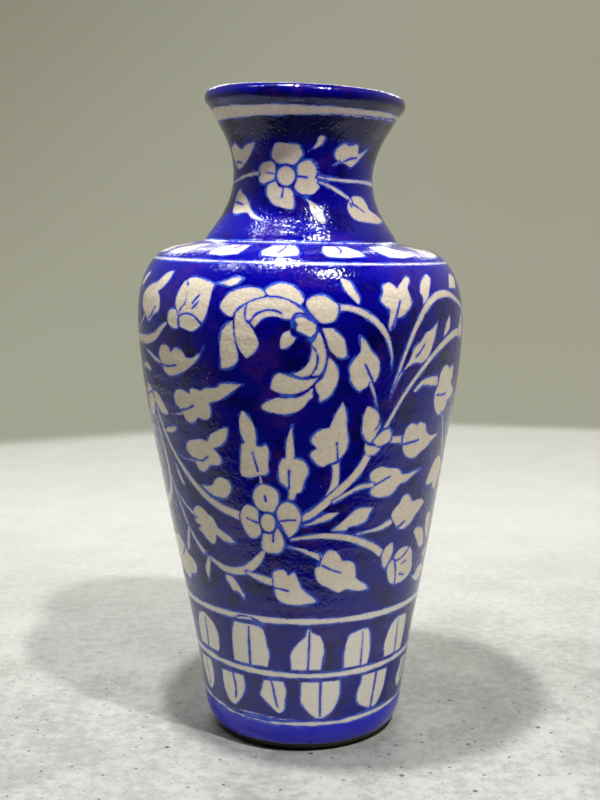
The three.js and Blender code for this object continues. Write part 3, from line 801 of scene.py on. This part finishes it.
glaze = {
    "cobalt": tone(3, 1, 138),
    "pooled": tone(1, 0, 66),
    # painted shade, laid on round the lip
    "paintedRimShade": tone(8, 3, 58),
    "washed": tone(52, 21, 124),
    # a brighter cobalt: the band above the foot, and painted light on the shoulder and neck
    "bright": tone(26, 14, 222),
    "penBlue": tone(2, 34, 205),
    "haloBlue": tone(60, 112, 235),
    "white": tone(229, 212, 188),
    "whiteThick": tone(243, 230, 212),
    "whiteLow": tone(253, 246, 234),  # painted light: the whites are lighter low down, on the two rows of leaves, where light thrown up off the table falls
    "speckBrown": tone(150, 122, 96),
    "pinhole": tone(190, 190, 215),
    "insideGlaze": tone(205, 198, 180),
    # bare clay painted dark brown and, in patches, nearly black: its own colour darkened by painted shade at
    # the foot
    "bareClay": tone(40, 24, 20),
    "scorchedClay": tone(18, 12, 13),
    "slipLight": tone(206, 190, 165),
    "slipTan": tone(176, 150, 120),
    "roughness": 0.06,
    "peel": 0.33,  # mm of orange peel
    "bend": 1.58,  # index of refraction
    "clayBend": 1.45,
    # where one look eases into another: from the first value to the second
    # painted shade round the lip rises between the first pair of heights and lessens over the lip's top
    # between the second
    "shadeUnderLip": (0.232, 0.2375),  # m up
    "overLip": (0.2468, 0.25),
    # painted light from above on the shoulder and neck, between these heights
    "litShoulderFrom": (0.16, 0.19),
    "litShoulderUntil": (0.235, 0.2),
    # painted light on the whites low down, from light thrown up off the table
    "bounceLitBelow": (0.085, 0.05),
    "footBand": (12.1, 9.6),  # mm above the bare clay
    "insidePlain": (6.0, 6.8),  # mm over the lip
}


def sealedClay(g):
    # clear glaze over slip, as it is inside
    return g.mix(g.clouds(12, 4, 0.6), glaze["insideGlaze"], glaze["whiteThick"])


# dark clay darkened by painted shade, nearly black in patches
def scorchedClay(g):
    return g.mix(g.clouds(4, 4, 0.65), glaze["bareClay"], glaze["scorchedClay"])


def paintedGlaze():
    g = Bench("paintedGlaze")
    motif, pen, inner, bare = (g.painted(n) for n in ("motif", "pen", "inner", "bare"))
    wobble = (g.clouds(3.2, 1) - 0.5) * 1.2 + (g.clouds(1.1) - 0.5) * 1.1
    white = g.ease(motif + wobble, 0.1, -0.12)
    inkEdge = pen + wobble * 0.45
    ink = g.ease(inkEdge, 0.12, -0.1)
    halo = g.ease(inkEdge, 0.85, -0.1)
    # the ground: brushed cobalt, pooled dark in places and washed thin to violet in others
    brushed = g.clouds(9, 3, 0.6, (1, 1, 2.4))
    pooled = g.ease(g.clouds(14, 3, 0.55) + (brushed - 0.5) * 0.5, 0.46, 0.68)
    washed = g.ease(g.clouds(17, 4, 0.6, (1.3, 1.3, 1)) + (brushed - 0.5) * 0.35, 0.5, 0.66)
    ground = g.mix(pooled * 0.85, glaze["cobalt"], glaze["pooled"])
    ground = g.mix(washed * 0.75, ground, glaze["washed"])
    high = g.node("ShaderNodeSeparateXYZ", {}, g.place, out="Z")
    # painted shade darkens the ground under and on the lip roll, less over its top; painted light brightens
    # it on the shoulder and neck; the band above the foot is a brighter cobalt
    rimShade = g.ease(high + (g.clouds(8, 3, 0.6) - 0.5) * 0.008, *glaze["shadeUnderLip"])
    rimShade = rimShade * (1 - g.ease(high, *glaze["overLip"]) * 0.6)
    ground = g.mix(rimShade * 0.85, ground, glaze["paintedRimShade"])
    # painted light from above on the shoulder and neck
    shoulderLit = g.ease(high, *glaze["litShoulderFrom"]) * g.ease(high, *glaze["litShoulderUntil"])
    ground = g.mix(shoulderLit * 0.18, ground, glaze["bright"])
    ground = g.mix(g.ease(bare, *glaze["footBand"]), ground, glaze["bright"])
    fringe = g.ease(inkEdge, 0.45, -0.1) * g.ease(g.clouds(6), 0.4, 0.62)
    ground = g.mix(fringe * 0.85, ground, glaze["haloBlue"])
    ground = g.mix(g.specks(5, 0.3, 0.5) * 0.8, ground, glaze["pinhole"])
    # the white: sandy slip under the glaze, thinner at its edges, with brown grains
    paste = g.mix(g.ease(g.clouds(2.2, 6, 0.75), 0.3, 0.7), glaze["white"], glaze["whiteThick"])
    grains = g.specks(2.1, 0.34, 0.5) * 0.6
    # painted light: the whites are lighter low down
    paste = g.mix(g.ease(high, *glaze["bounceLitBelow"]) * 0.8, paste, glaze["whiteLow"])
    paste = g.mix(grains, paste, glaze["speckBrown"])
    paste = g.mix(halo * 0.42, paste, glaze["haloBlue"])
    paste = g.mix(ink * 0.92, paste, glaze["penBlue"])
    colour = g.mix(white, ground, paste)
    # over the lip and down inside, the cobalt stops at a ragged edge and plain glaze goes on
    plain = g.ease(inner + (g.clouds(9, 3, 0.6) - 0.5) * 6, *glaze["insidePlain"])
    inside = g.mix(g.specks(3, 0.3, 0.4) * 0.6, sealedClay(g), glaze["speckBrown"])
    colour = g.mix(plain, colour, inside)
    # below the glaze's tan edge the foot is bare clay, dark brown and painted darker still with the shade at
    # the foot
    glazeEdge = bare + (g.clouds(7, 3, 0.6) - 0.5) * 1.4
    unglazed = g.ease(glazeEdge, 0.12, -0.12)
    colour = g.mix(g.ease(glazeEdge, 0.5, 0.1) * 0.7, colour, glaze["speckBrown"])
    colour = g.mix(unglazed, colour, scorchedClay(g))
    grit = g.ease(g.clouds(0.9, 2), 0.44, 0.58)  # breaks the lamps up into sparks
    roughness = glaze["roughness"] + grit * 0.09 + (g.clouds(6, 2) - 0.5) * 0.08 + unglazed * 0.5
    relief = g.clouds(1.3, 2) * 0.6 + g.clouds(4.5, 1) * 0.4 + white * 0.12 + unglazed * g.clouds(0.6, 3)
    return g.finish(colour, roughness, relief, glaze["peel"], {"IOR": glaze["bend"]})


def bareClay():
    g = Bench("bareFootClay")
    bare = g.painted("bare")
    glazed = g.ease(bare + (g.clouds(5) - 0.5) * 2, -0.1, 0.3)
    # the bare under side, in painted shade
    clay = g.mix(g.specks(2.2, 0.3, 0.5) * 0.7, scorchedClay(g), glaze["speckBrown"])
    colour = g.mix(glazed, clay, sealedClay(g))
    roughness = 0.85 - glazed * 0.6 + (g.clouds(2, 3) - 0.5) * 0.2
    relief = g.clouds(0.7, 4, 0.6) + g.clouds(3, 2)
    return g.finish(colour, roughness, relief, 0.12, {"IOR": glaze["clayBend"]})


def slipClay():
    g = Bench("slipBead")
    tide = g.clouds(3, 4, 0.6)
    colour = g.mix(tide, glaze["slipTan"], glaze["slipLight"])
    colour = g.mix(g.specks(2, 0.3, 0.5) * 0.7, colour, glaze["speckBrown"])
    roughness = 0.55 + (g.clouds(1.5, 3) - 0.5) * 0.3
    return g.finish(colour, roughness, tide + g.clouds(0.8, 3), 0.1, {"IOR": glaze["clayBend"]})


finishes = {"painted_glaze": paintedGlaze(), "bare_foot_clay": bareClay(), "slip": slipClay()}
print("finishes mixed")


def makeShell(name, rings, slotName, replaced, paint, normals=None, closed=True, finish=None):
    # rings is rows x columns x 3 in mm; the rows close into a loop, or run from axis to axis
    count, around = rings.shape[:2]
    here = np.arange(count * around).reshape(count, around)
    side = np.roll(here, -1, 1)
    up = np.roll(here, -1, 0) if closed else here[1:]
    upSide = np.roll(side, -1, 0) if closed else side[1:]
    last = count if closed else count - 1
    quads = np.stack([here[:last], side[:last], upSide, up], -1).reshape(-1, 4)
    points = rings.reshape(-1, 3)
    faces = quads.tolist()
    if not closed:  # a small fan closes each end at the axis
        points = np.vstack([points, rings[0].mean(0), rings[-1].mean(0)])
        low, high = count * around, count * around + 1
        final = (count - 1) * around  # the first point of the last ring
        faces += [[low, (j + 1) % around, j] for j in range(around)]
        faces += [[high, final + j, final + (j + 1) % around] for j in range(around)]
    mesh = bpy.data.meshes.new(name)
    mesh.from_pydata((points * mm).tolist(), [], faces)
    for key, values in paint.items():
        layer = mesh.attributes.new(key, "FLOAT", "POINT")
        flat = np.zeros(len(points), np.float32)
        flat[: count * around] = values.reshape(-1)
        if not closed:
            flat[-2:] = flat[0], flat[count * around - 1]
        layer.data.foreach_set("value", flat)
    mesh.polygons.foreach_set("use_smooth", np.ones(len(faces), bool))
    if normals is not None:
        full = np.zeros((len(points), 3))
        full[: normals.shape[0] * around] = normals.reshape(-1, 3)
        mesh.normals_split_custom_set_from_vertices(full.tolist())
    mesh.update()
    piece = bpy.data.objects.new(name, mesh)
    bpy.context.scene.collection.objects.link(piece)
    mesh.materials.append(finish or finishes[slotName])
    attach(piece, "root")
    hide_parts(*replaced)
    return piece


names = {
    "foot_ring": "footRingTurned", "lower_body": "lowerWallPainted", "upper_body": "upperWallPainted",
    "neck": "neckPainted", "lip_roll": "lipRollPainted",
}
slots = {"foot_ring": "bare_foot_clay"}
inner = (rowArc - rowArc[crest])[:, None] + 0 * motif
bare = (rowHeight - pot["glazeStarts"])[:, None] + 0 * motif
for k, name in enumerate(sections):
    first, last = joinRow[k], joinRow[k + 1]
    loop = outlines[name]
    rest = loop[paintEnds[name] :] + loop[:1]
    hidden = plainRun(rest, pot["insideStep"], pot["easedCorner"])[1:-1]
    unpainted = handShaped(hidden[:, :1], hidden[:, 1:], angles[None, :])
    flat = np.zeros((len(hidden), pot["columns"]), np.float32)
    paint = {
        "motif": np.vstack([motif[first : last + 1], flat + farAway]),
        "pen": np.vstack([pen[first : last + 1], flat + farAway]),
        "inner": np.vstack([inner[first : last + 1], flat + farAway]),
        "bare": np.vstack([bare[first : last + 1], flat + (-farAway if name == "foot_ring" else farAway)]),
    }
    makeShell(
        names[name], np.vstack([skin[first : last + 1], unpainted]), slots.get(name, "painted_glaze"), [name],
        paint, skinNormal[first : last + 1], finish=finishes["painted_glaze"],
    )

base = {
    "eased": 0.6,  # mm taken off the slab's corners
    "spiral": 0.12,  # mm high, left by the fingers
    "spiralRim": 33,  # the radius where it stops
    "glazeStarts": 8,  # mm up; the under side is bare
}
slab = plainRun(outlines["base_slab"], 1.0, base["eased"])[1:-1]
slabAngles = angles[::4]
spiral = base["spiral"] * np.sin(slab[:, :1] * 1.9 + slabAngles[None, :])
slabHigh = slab[:, 1:] + spiral * (slab[:, :1] < base["spiralRim"])
makeShell(
    "baseSlabTurned", handShaped(slab[:, :1], slabHigh, slabAngles[None, :]), "bare_foot_clay", ["base_slab"],
    {"bare": slab[:, 1:] - base["glazeStarts"] + 0 * slabHigh}, closed=False,
)
beadAngles = angles[::3]
for k, bead in enumerate(["foot", "base", "belly", "neck", "lip"]):
    node = "slip_seam_" + bead
    loop = outlineOf(node)
    ring, _ = smoothRun(loop + loop[:1], 0.6)
    middle = ring.mean(0)
    smear = 1 - 0.06 * (1 + np.sin(7 * beadAngles + k) * np.sin(3 * beadAngles + 2 * k))
    radius = middle[0] + (ring[:-1, :1] - middle[0]) * smear
    height = middle[1] + (ring[:-1, 1:] - middle[1]) * smear
    rings = handShaped(radius, height, beadAngles[None, :])
    makeShell("slipBead" + bead.capitalize(), rings, "slip", [node], {})
print("pieces made")

# the room, in metres
room = {
    "side": 2,  # the table reaches this far to each side and to the front
    "farRim": [(2, 0.54), (0.31, 0.77), (-0.255, 0.94), (-0.385, 0.635), (-2, -0.11)],
    "rimFade": 0.075,
    "frontEdge": -0.14,  # where the table is parted in two
    "wallRadius": 2.6,
    "wallFrom": -1.5,
    "wallTo": 4,
    "wallTone": tone(160, 160, 144),
    "wallGlow": 0.74,
    # pits in the table: grid, mm; radius, mm; share of the cells; strength
    "pits": [(30, 1.3, 0.3, 0.85), (11, 0.8, 0.4, 0.8), (5, 0.5, 0.4, 0.6)],
    "pitTone": tone(56, 58, 56),
}
farRim = room["farRim"]


def roomFinish():
    # pale cast table, mottled and pitted, cooler and darker close by; the darkening is painted shade
    g = Bench("paleTable")
    depth = g.node("ShaderNodeSeparateXYZ", {}, g.place, out="Y")
    grain = g.clouds(5, 6, 0.75) * 0.5 + g.clouds(34, 4, 0.6) * 0.3 + g.clouds(140, 3, 0.5) * 0.2
    # painted shade: the near colours are darker than the far ones
    near = g.mix(g.ease(grain, 0.4, 0.6), tone(152, 155, 150), tone(187, 188, 183))
    far = g.mix(g.ease(grain, 0.4, 0.6), tone(226, 226, 219), tone(234, 234, 228))
    colour = g.mix(g.ease(depth, -0.03, 0.42), near, far)
    closeBy = g.ease(depth, 0.16, -0.04) * 0.85 + 0.15
    for size, radius, share, strength in room["pits"]:
        pits = g.specks(size, radius, share, flat=True)
        colour = g.mix(pits * closeBy * strength, colour, room["pitTone"])
    # the far rim melts into the wall
    across = g.node("ShaderNodeSeparateXYZ", {}, g.place, out="X")
    kept = 1.0
    for (x0, y0), (x1, y1) in zip(farRim, farRim[1:]):
        long = math.hypot(x1 - x0, y1 - y0)
        outX, outY = (y1 - y0) / long, (x0 - x1) / long
        inward = outX * x0 + outY * y0 - across * outX - depth * outY
        kept = g.ease(inward, 0.0, room["rimFade"]) * kept
    return g.finish(colour, 0.5 + (grain - 0.5) * 0.2, grain, 0.25, {"IOR": 1.4, "Alpha": kept})


def wallFinish():
    # it glows, a painted light: brighter at the back and the sides than in front, fading upwards and darker
    # to the upper left; in front its own colour is painted dark too, a painted shade for the dim room there
    g = Bench("oliveWall")
    colour = g.mix(g.clouds(400, 2, 0.5), room["wallTone"], tone(170, 168, 152))
    across, depth, high = (g.node("ShaderNodeSeparateXYZ", {}, g.place, out=axis) for axis in "XYZ")
    # painted light on the wall, with painted shade to the upper left and in front
    glow = g.mix(g.ease(across, -0.2, 0.9), tone(163, 163, 146), tone(166, 160, 143))
    glow = g.mix(g.ease(high, -0.3, 0.5), tone(168, 169, 151), glow)
    glow = g.mix(g.ease(high - across, 0.5, 1.8), glow, tone(134, 134, 117))
    glow = g.mix(g.ease(depth, -1.8, 1.2), tone(20, 20, 18), glow)
    colour = g.mix(g.ease(depth, -1.8, 0.8), tone(50, 50, 45), colour)
    fixed = {"IOR": 1.4, "Emission Color": glow, "Emission Strength": room["wallGlow"]}
    return g.finish(colour, 0.8 + (g.clouds(50) - 0.5) * 0.1, g.clouds(5), 0.05, fixed)


def sheetOf(name, corners, faces, material):
    mesh = bpy.data.meshes.new(name)
    mesh.from_pydata(corners, [], faces)
    mesh.materials.append(material)
    thing = bpy.data.objects.new(name, mesh)
    bpy.context.scene.collection.objects.link(thing)
    return thing


# the table in two pieces, so that the glaze mirrors the part around the foot and not the part before it
tableFinish = roomFinish()
side, frontEdge = room["side"], room["frontEdge"]
behind = [(-side, frontEdge, 0), (side, frontEdge, 0), *((x, y, 0) for x, y in farRim)]
before = [(-side, -side, 0), (side, -side, 0), (side, frontEdge, 0), (-side, frontEdge, 0)]
sheetOf("tableTop", behind, [list(range(len(behind)))], tableFinish)
tableFront = sheetOf("tableFront", before, [list(range(len(before)))], tableFinish)
tableFront.visible_glossy = False
steps = np.radians(np.arange(0, 360, 6)).tolist()
circle = [(room["wallRadius"] * math.sin(t), -room["wallRadius"] * math.cos(t)) for t in steps]
corners = [(x, y, z) for z in (room["wallFrom"], room["wallTo"]) for x, y in circle]
count = len(circle)
faces = [(k, k + count, (k + 1) % count + count, (k + 1) % count) for k in range(count)]
roomWall = sheetOf("roomWall", corners, faces, wallFinish())
roomWall.data.polygons.foreach_set("use_smooth", np.ones(count, bool))

camera = {"lens": 54.05, "sensor": 36, "at": (-0.0013, -0.4815, 0.2018), "down": 8.1}
cameraData = bpy.data.cameras.new("viewer")
cameraData.lens = camera["lens"]
cameraData.sensor_width = camera["sensor"]
viewer = bpy.data.objects.new("viewer", cameraData)
viewer.location = camera["at"]
viewer.rotation_euler = (math.radians(90 - camera["down"]), 0, 0)
bpy.context.scene.collection.objects.link(viewer)
bpy.context.scene.camera = viewer

lamps = {
    "rightCeiling": {"at": (0.31, -0.51, 1.1), "size": (0.045, 0.045), "watts": 9, "tone": (1, 0.99, 0.97)},
    "overhead": {"at": (-0.08, -0.1, 0.74), "size": (0.035, 0.035), "watts": 4, "tone": (1, 1, 1)},
    "leftSpark": {"at": (-0.6, -0.1, 1.1), "size": (0.08, 0.08), "watts": 1.2, "tone": (1, 1, 1)},
    "leftFront": {"at": (-0.3, -0.3, 1.15), "size": (0.06, 0.06), "watts": 0.7, "tone": (1, 1, 1)},
    "topBack": {"at": (0.0, 1.3, 0.85), "size": (1.4, 0.2), "watts": 6, "tone": (1, 1, 1)},
}
lampsAim = Vector((0, 0, 0.13))
for name, lamp in lamps.items():
    data = bpy.data.lights.new(name, "AREA")
    data.shape = "RECTANGLE"
    data.size, data.size_y = lamp["size"]
    data.energy = lamp["watts"]
    data.color = lamp["tone"]
    thing = bpy.data.objects.new(name, data)
    thing.location = lamp["at"]
    aim = lampsAim - thing.location
    thing.rotation_euler = aim.to_track_quat("-Z", "Y").to_euler()
    bpy.context.scene.collection.objects.link(thing)

daylight = {"tone": (0.3, 0.3, 0.28, 1), "strength": 0.12}
world = bpy.data.worlds.new("room")
world.use_nodes = True
background = world.node_tree.nodes["Background"]
background.inputs["Color"].default_value = daylight["tone"]
background.inputs["Strength"].default_value = daylight["strength"]
bpy.context.scene.world = world
bpy.context.scene.view_settings.view_transform = "Standard"
print("room lit")
